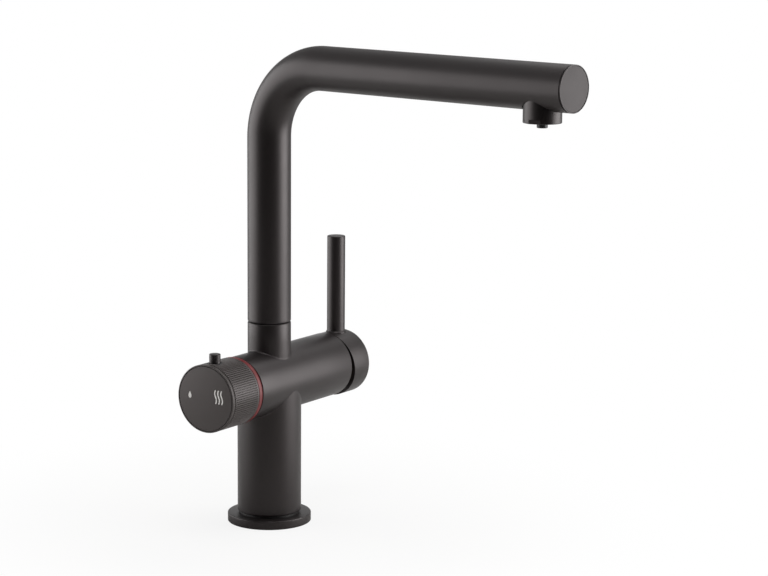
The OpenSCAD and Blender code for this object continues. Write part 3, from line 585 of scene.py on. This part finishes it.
points = tube_rings(stations)
steps = len(points) // len(stations)
rows = [list(range(i, i + steps)) for i in range(0, len(points), steps)]
spout = build("spout", at_spout(points), quads(rows + [rows[0]]), coat)


# Outlet.
# A turned collar is brazed into the spout's underside, with a notch for a key in its lower edge. It
# holds the aerator, a moulded insert with a ring of holes, and the nozzle for boiling water.

outlet_at = 236.3
collar_low, collar_high = corners("outlet_collar")
collar_r = (collar_high.x - collar_low.x) / 2
collar_bore = collar_r - 1.5
braze_gap = 0.45
notch_turn, notch_w, notch_h, notch_depth = -85, 8, 2.8, 0.8


def at_outlet(points):
    """Sets points on the outlet's upright axis."""
    return at_spout([(x, y - outlet_at, z) for x, y, z in points])


points, faces = turned([
    (0, collar_low.z - beyond), (collar_r + braze_gap, collar_low.z - beyond),
    (collar_r + braze_gap, spout_z), (0, spout_z)
], closed=False)
cut(spout, "outlet_hole", at_outlet(points), faces)
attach(spout, "spout")
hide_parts("spout_tube")

points, faces = turned(rounded([
    (collar_bore, collar_low.z, 0.3), (collar_r, collar_low.z, 0.45),
    (collar_r, collar_high.z), (collar_bore, collar_high.z)
]))
collar = build("outlet_collar_turned", at_outlet(points), faces, coat)
a = math.radians(notch_turn) - spout_turn
away, across = Vector((math.sin(a), -math.cos(a), 0)), Vector((math.cos(a), math.sin(a), 0))
near, far, half = collar_r - notch_depth, collar_r + beyond, notch_w / 2
points = [tuple(away * reach + across * side + Vector((0, 0, z)))
          for z in (collar_low.z - beyond, collar_low.z + notch_h)
          for reach, side in ((near, -half), (far, -half), (far, half), (near, half))]
faces = [[0, 1, 2, 3], [4, 5, 6, 7], [0, 1, 5, 4], [1, 2, 6, 5], [2, 3, 7, 6], [3, 0, 4, 7]]
cut(collar, "key_notch", at_outlet(points), faces)
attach(collar, "spout")
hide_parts("outlet_collar")

repaint(black_plastic, "aerator")
nozzle_low, nozzle_high = corners("boiling_nozzle")
nozzle_r, nozzle_bore, nozzle_body_r, nozzle_step = 3.5, 2, 4.8, 302.6
points, faces = turned(rounded([
    (nozzle_bore, nozzle_low.z, 0.3), (nozzle_r, nozzle_low.z, 0.5), (nozzle_r, nozzle_step),
    (nozzle_body_r, nozzle_step), (nozzle_body_r, nozzle_high.z), (nozzle_bore, nozzle_high.z)
]), steps=96)
nozzle = build("boiling_nozzle_turned", at_outlet(points), faces, black_plastic)
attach(nozzle, "spout")
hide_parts("boiling_nozzle")


# End disc.
# A turned disc that closes the spout's tip, set in a hair from the thin rim. It is coated as the rest,
# a little rougher on the turned face, and a fine dark joint runs round it.

disc_r, disc_t, disc_recess, joint = 14.7, 3, 0.25, 0.12
points, faces = turned(rounded([
    (0, disc_recess), (disc_r - joint, disc_recess, 0.25), (disc_r - joint, disc_recess + joint * 2),
    (disc_r, disc_recess + joint * 2), (disc_r, disc_recess + disc_t), (0, disc_recess + disc_t)
]), closed=False)
disc_coat = powder_coat("matt_black_coat_on_turned_disc", "#131111", "#181616", 0.56, 0.64)
points = at_spout([(x, z - spout_reach, spout_z + y) for x, y, z in points])
end_disc = build("end_disc", points, faces, disc_coat)
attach(end_disc, "spout")
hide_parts("spout_end_disc")


# Boiling knob.
# A turned aluminium sleeve with straight flutes for grip and a smooth lip, on a moulded hub. A thin
# face plate closes it. Both are coated in a satin black that looks a touch greyer than the body's.

knob_coat = powder_coat("satin_black_coat_on_aluminium", "#332f2e", "#3b3735", 0.4, 0.46)
sleeve_low, sleeve_high = corners("knob_sleeve")
knob_r = sleeve_high.y
sleeve_bore = knob_r - 2.8
flute_count, flute_depth = 96, 0.6
flute_form = (0, 0, 0, 0, 0, 0, 1, 1)
rim_w, lip_w, lip_groove, lip_round, groove_depth = 1.7, 2.4, 0.6, 0.35, 0.6
lip_x = sleeve_low.x + lip_w
flute_x = lip_x + lip_groove
rim_x = sleeve_high.x - rim_w
face_seat, face_hole_r = corners("knob_face")[1].x, knob_r - 0.95


def fluted(outline):
    """Rings round the barrel's axis, from an outline of (radius, x, share of the flutes' depth)."""
    steps = flute_count * len(flute_form)
    points = []
    for r, x, share in outline:
        for k in range(steps):
            a = math.tau * k / steps
            here = r - share * flute_depth * flute_form[k % len(flute_form)]
            points.append((x, here * math.sin(a), barrel_z + here * math.cos(a)))
    rows = [list(range(i, i + steps)) for i in range(0, len(points), steps)]
    return points, quads(rows + [rows[0]])


flute_r = knob_r - 0.03
groove_r = flute_r - groove_depth
soft = [math.pi / 2 * k / 4 for k in range(5)]
front = [(knob_r - lip_round * (1 - math.cos(a)), sleeve_low.x + lip_round * (1 - math.sin(a)), 0)
         for a in soft[::-1]]
back = [(knob_r - 0.3 * (1 - math.cos(a)), sleeve_high.x - 0.3 * (1 - math.sin(a)), 0) for a in soft]
sleeve = build("fluted_sleeve", *fluted(
    [(sleeve_bore, face_seat, 0), (face_hole_r, face_seat, 0), (face_hole_r, sleeve_low.x + 0.1, 0)]
    + [(face_hole_r + 0.1, sleeve_low.x, 0)] + front
    + [(knob_r, lip_x - 0.2, 0), (knob_r - 0.15, lip_x, 0), (groove_r, lip_x + 0.05, 0)]
    + [(groove_r, flute_x - 0.02, 0), (flute_r - 0.2, flute_x, 1), (flute_r, flute_x + 0.2, 1)]
    + [(flute_r, rim_x - 0.3, 1), (flute_r, rim_x, 0), (knob_r, rim_x + 0.1, 0)] + back
    + [(sleeve_bore, sleeve_high.x, 0)]
), knob_coat)


# Safety button.
# A coated brass pin in a plastic guide in the knob's rim. It is pressed against its spring before the
# knob turns to boiling water. The spring is wound from stainless wire.

button_low, button_high = corners("safety_button")
button_x = (button_low.x + button_high.x) / 2
button_r = (button_high.x - button_low.x) / 2
guide_low, guide_high = corners("button_guide")
guide_r = (guide_high.x - guide_low.x) / 2
button_clear, hole_from, hole_to = 0.06, barrel_z + 9, barrel_z + 30


def at_button(points):
    """Sets points on the button's upright axis."""
    return [(x + button_x, y, z) for x, y, z in points]


points, faces = turned([
    (0, hole_from), (guide_r + hole_clear, hole_from), (guide_r + hole_clear, hole_to), (0, hole_to)
], steps=96, closed=False)
cut(sleeve, "button_hole", at_button(points), faces)
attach(sleeve, "knob")
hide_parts("knob_sleeve")

points, faces = turned(rounded([
    (button_r + button_clear, guide_low.z), (guide_r, guide_low.z),
    (guide_r, guide_high.z, 0.2), (button_r + button_clear, guide_high.z, 0.3)
]), steps=96)
guide = build("button_guide_moulded", at_button(points), faces, black_plastic)
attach(guide, "knob")
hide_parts("button_guide")

points, faces = turned(rounded([
    (0, button_low.z), (button_r, button_low.z, 0.2), (button_r, button_high.z, 0.6), (0, button_high.z)
]), steps=96, closed=False)
button = build("safety_pin_button", at_button(points), faces, coat)
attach(button, "button")
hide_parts("safety_button")

spring_low, spring_high = corners("button_spring")
wire_r, coil_turns, coil_steps = 0.38, 5, 32
coil_r = (spring_high.x - spring_low.x) / 2 - wire_r
coil_foot, coil_top = spring_low.z + wire_r, spring_high.z - wire_r
coil_count = coil_turns * coil_steps
points, rows = [], []
for k in range(coil_count + 1):
    a = math.tau * k / coil_steps
    out = Vector((math.cos(a), math.sin(a), 0))
    middle = out * coil_r + Vector((0, 0, coil_foot + (coil_top - coil_foot) * k / coil_count))
    rows.append(list(range(len(points), len(points) + 10)))
    points += [tuple(middle + wire_r * (math.cos(t) * out + math.sin(t) * Vector((0, 0, 1))))
               for t in (math.tau * j / 10 for j in range(10))]
spring = build("button_coil_spring", at_button(points), quads(rows) + [rows[0], rows[-1]], steel)
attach(spring, "knob")
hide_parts("button_spring")
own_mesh(spring)


# Knob's hub and face.
# The hub is moulded and screwed on the spindle. The face plate is a turned disc set into the sleeve's
# lip, with a narrow dark groove round it and two white marks printed on it.

repaint(black_plastic, "knob_hub")
face_low, face_high = corners("knob_face")
face_r, print_t = face_high.y, 0.03
points, faces = turned(rounded([
    (0, face_low.x + print_t), (face_r, face_low.x + print_t, 0.2), (face_r, face_high.x), (0, face_high.x)
]), steps=192, closed=False)
face = build("knob_face_plate", along_barrel(points), faces, knob_coat)
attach(face, "knob")
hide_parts("knob_face")


def pad_print(name, colour, worn):
    """White ink put on with a soft pad: flat and slightly matt, and a little thinner in places."""
    material, tree = empty_material(name)
    place = add(tree, "TexCoord").outputs["Object"]
    thin = add(tree, "TexNoise", {"Vector": place, "Scale": 1 / (0.8 * MM), "Detail": 3})
    ink = add(tree, "Mix", {0: thin.outputs[0], 6: linear(worn), 7: linear(colour)}, data_type="RGBA")
    shader = add(tree, "BsdfPrincipled", {"Base Color": ink.outputs[2], "Roughness": 0.55})
    add(tree, "OutputMaterial", {"Surface": shader.outputs["BSDF"]})
    return material


def printed(outline, y, z):
    """Points and faces of a flat mark on the knob's face, from an outline of (across, up) points."""
    count = len(outline)
    front = [(face_low.x, y - across, barrel_z + z + up) for across, up in outline]
    points = front + [(x + print_t, y, z) for x, y, z in front]
    faces = [list(range(count)), list(range(count, 2 * count))]
    return points, faces + [[k, (k + 1) % count, count + (k + 1) % count, count + k] for k in range(count)]


def droplet(tall, steps=40):
    """Outline of a drop, pointed at the top."""
    turn = [math.tau * k / steps for k in range(steps)]
    return [(0.36 * tall * math.sin(t) * math.sin(t / 2) ** 1.4, tall / 2 * math.cos(t)) for t in turn]


def heat_line(across, tall, width, sway, steps=24):
    """Outline of one rising wavy line with round ends."""
    spine = [(across + sway * math.sin(math.tau * t), tall * (t - 0.5))
             for t in (k / steps for k in range(steps + 1))]
    left, right = [], []
    for k, (x, z) in enumerate(spine):
        slope = math.tau * sway / tall * math.cos(math.tau * k / steps)
        side = Vector((1, -slope)).normalized() * width / 2 * min(1, 0.5 + min(k, steps - k) / 2)
        right.append((x + side.x, z + side.y))
        left.append((x - side.x, z - side.y))
    return left + right[::-1]


ink = pad_print("white_pad_printed_ink", "#f4f2ef", "#d6d3d0")
drop_tall, drop_y, drop_z = 4.8, 13.4, 1.6
drop = build("drop_mark", *printed(droplet(drop_tall), drop_y, drop_z), ink)
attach(drop, "knob")
heat_tall, heat_w, heat_sway, heat_y, heat_z, heat_apart = 9.6, 0.9, 0.7, -11.2, 2.4, 2.6
marks = [printed(heat_line(across, heat_tall, heat_w, heat_sway), heat_y, heat_z)
         for across in (-heat_apart, 0, heat_apart)]
heat = build("heat_mark", *joined(*marks), ink)
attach(heat, "knob")


# Mixer cap.
# A turned brass cap on the cartridge's stem. Its rim is cut on the slant, so that a narrow wedge of
# shadow opens towards the bottom, into which it tilts. It is coated as the body.

cap_high = corners("mixer_cap")[1]
cap_r = cap_high.y
cap_axis = barrel_z - 0.6
rim_top, rim_low, cap_wall, cap_round, rim_round = 70.3, 75.7, 2.1, 0.8, 0.2
cap_floor = 78.5
lever_x, lever_r = 82, 6.55
lever_seat = 122.1
lever_hole_r = lever_r + 0.8


def cap_form(steps=192):
    """The cap as rings round the barrel's axis, those of the rim slanted."""
    arc = [math.pi / 2 * k / 6 for k in range(7)]
    lip = [math.pi / 2 * k / 3 for k in range(4)]
    outline = [(0, cap_floor, 0), (cap_r - cap_wall, cap_floor, 0), (cap_r - cap_wall, 0, 1)]
    outline += [(cap_r - rim_round * (1 - math.cos(a)), rim_round * (1 - math.sin(a)), 1) for a in lip[::-1]]
    outline += [(cap_r, rim_round + 0.3, 1), (cap_r, lever_x, 0)]
    outline += [(cap_r - cap_round * (1 - math.cos(a)), cap_high.x - cap_round * (1 - math.sin(a)), 0)
                for a in arc]
    outline += [(0, cap_high.x, 0)]
    points, rows = [], []
    for r, x, slanted in outline:
        count = 1 if r < 1e-6 else steps
        rows.append([len(points) + k % count for k in range(steps)])
        for k in range(count):
            a = math.tau * k / steps
            rise = r * math.cos(a)
            lean = rim_top + (rim_low - rim_top) * (cap_r - rise) / (2 * cap_r) if slanted else 0
            points.append((x + lean, r * math.sin(a), cap_axis + rise))
    return points, quads(rows)


cap = build("mixer_cap_turned", *cap_form(), coat)
above_cap, below_cap = cap_axis + cap_r + 5, cap_axis - cap_r - beyond
points, faces = turned([
    (0, lever_seat), (lever_hole_r, lever_seat), (lever_hole_r, above_cap), (0, above_cap)
], steps=96, closed=False)
cut(cap, "lever_hole", [(x + lever_x, y, z) for x, y, z in points], faces)
grub_low, grub_high = corners("cap_grub_screw")
grub_x, grub_r = (grub_low.x + grub_high.x) / 2, (grub_high.x - grub_low.x) / 2
points, faces = turned([
    (0, below_cap), (grub_r + hole_clear, below_cap), (grub_r + hole_clear, grub_high.z), (0, grub_high.z)
], steps=48, closed=False)
cut(cap, "grub_screw_hole", [(x + grub_x, y, z) for x, y, z in points], faces)
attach(cap, "lever")
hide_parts("mixer_cap")


# Mixer lever.
# A straight round rod of brass, coated, with its top edge broken, screwed into the cap. A small
# bevelled shoulder at its foot, where it seats in the cap, catches a ring of light.

lever_high = corners("mixer_lever")[1]
lever_foot, foot_from, foot_to = 0.7, 123.3, 124.1
points, faces = turned(rounded([
    (0, lever_seat), (lever_r + lever_foot, lever_seat), (lever_r + lever_foot, foot_from),
    (lever_r, foot_to), (lever_r, lever_high.z, 0.6), (0, lever_high.z)
]), steps=96, closed=False)
lever = build("lever_rod", [(x + lever_x, y, z) for x, y, z in points], faces, coat)
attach(lever, "lever")
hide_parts("mixer_lever")


# Studio.
# A pale floor that fades into white, large softboxes at the right front and the left rear, weaker ones
# above and beside, and a dim front, as for a dark product on white. The camera stands as in the photo.

camera_at = Vector((-1317.10, -969.41, 457.74)) * MM
camera_yaw, camera_pitch, camera_roll = (math.radians(a) for a in (33.54, 10.07, 0.46))
focal_px, frame_px, sensor_mm = 2370.75, 768, 36

sight = Vector((
    math.cos(camera_yaw) * math.cos(camera_pitch),
    math.sin(camera_yaw) * math.cos(camera_pitch),
    -math.sin(camera_pitch),
))
level = sight.cross(Vector((0, 0, 1))).normalized()
upright = level.cross(sight)
right = math.cos(camera_roll) * level + math.sin(camera_roll) * upright
up = math.cos(camera_roll) * upright - math.sin(camera_roll) * level
lens = bpy.data.cameras.new("camera")
lens.lens = focal_px / frame_px * sensor_mm
lens.sensor_width = sensor_mm
camera = bpy.data.objects.new("camera", lens)
camera.matrix_world = Matrix.Translation(camera_at) @ Matrix((right, up, -sight)).transposed().to_4x4()
bpy.context.scene.collection.objects.link(camera)
bpy.context.scene.camera = camera
bpy.context.scene.view_settings.view_transform = "Standard"
tap_middle = Vector((0, -0.05, 0.17))


def softbox(name, azimuth, elevation, distance, width, tall, radiance):
    """A softbox that looks at the tap. Azimuth 0 is in front of it and 90 on its lever's side."""
    lamp = bpy.data.lights.new(name, "AREA")
    lamp.shape = "RECTANGLE"
    lamp.size, lamp.size_y = width, tall
    lamp.energy = radiance * math.pi * width * tall
    box = bpy.data.objects.new(name, lamp)
    a, e = math.radians(azimuth), math.radians(elevation)
    away = Vector((math.cos(e) * math.sin(a), -math.cos(e) * math.cos(a), math.sin(e)))
    box.location = tap_middle + away * distance
    box.rotation_mode = "QUATERNION"
    box.rotation_quaternion = away.to_track_quat("Z", "Y")
    box.visible_camera = False
    bpy.context.scene.collection.objects.link(box)


softbox("key_softbox", 32, 5, 1.6, 1.3, 1.5, 6.0)
softbox("rear_softbox", -157, 5, 1.6, 1.9, 1.5, 3.0)
softbox("overhead_softbox", 80, 58, 1.6, 1.6, 0.9, 2.7)
softbox("side_strip", 125, 4, 1.6, 0.7, 0.5, 0.8)
softbox("top_softbox", -55, 78, 1.6, 0.8, 0.8, 4.6)

world = bpy.data.worlds.new("studio")
bpy.context.scene.world = world
world.use_nodes = True
tree = world.node_tree
tree.nodes.clear()
rear, dim, bright = (0.55, 0.83, 0), 0.02, 0.36
way = add(tree, "TexCoord").outputs["Generated"]
facing = add(tree, "VectorMath", {0: way, 1: rear}, operation="DOT_PRODUCT")
behind = add(tree, "MapRange", {0: facing.outputs["Value"], 1: -0.5, 2: 0.5, 3: dim, 4: bright},
             interpolation_type="SMOOTHSTEP")
seen = add(tree, "LightPath").outputs["Is Camera Ray"]
strength = add(tree, "Mix", {0: seen, 2: behind.outputs[0], 3: 1.0}, data_type="FLOAT")
shade = add(tree, "Background", {"Color": (1, 1, 1, 1), "Strength": strength.outputs[0]})
add(tree, "OutputWorld", {"Surface": shade.outputs[0]})

floor_r, fade_from, fade_to = 0.6, 0.05, 0.3
material, tree = empty_material("pale_floor")
seen = add(tree, "LightPath").outputs["Is Camera Ray"]
place = add(tree, "TexCoord").outputs["Object"]
far = add(tree, "VectorMath", {0: place}, operation="LENGTH")
fade = add(tree, "MapRange", {0: far.outputs["Value"], 1: fade_from, 2: fade_to, 3: 0.86, 4: 1.0},
           interpolation_type="SMOOTHSTEP")
white = add(tree, "Math", {0: seen, 1: fade.outputs[0]}, operation="MULTIPLY")
paper = add(tree, "BsdfDiffuse", {"Color": linear("#d0cfcd")})
glow = add(tree, "Emission", {"Color": (1, 1, 1, 1), "Strength": 1.0})
blend = add(tree, "MixShader", {0: white.outputs[0], 1: paper.outputs[0], 2: glow.outputs[0]})
add(tree, "OutputMaterial", {"Surface": blend.outputs[0]})
floor = build("floor", *turned([(0, 0), (floor_r / MM, 0)], closed=False), material)
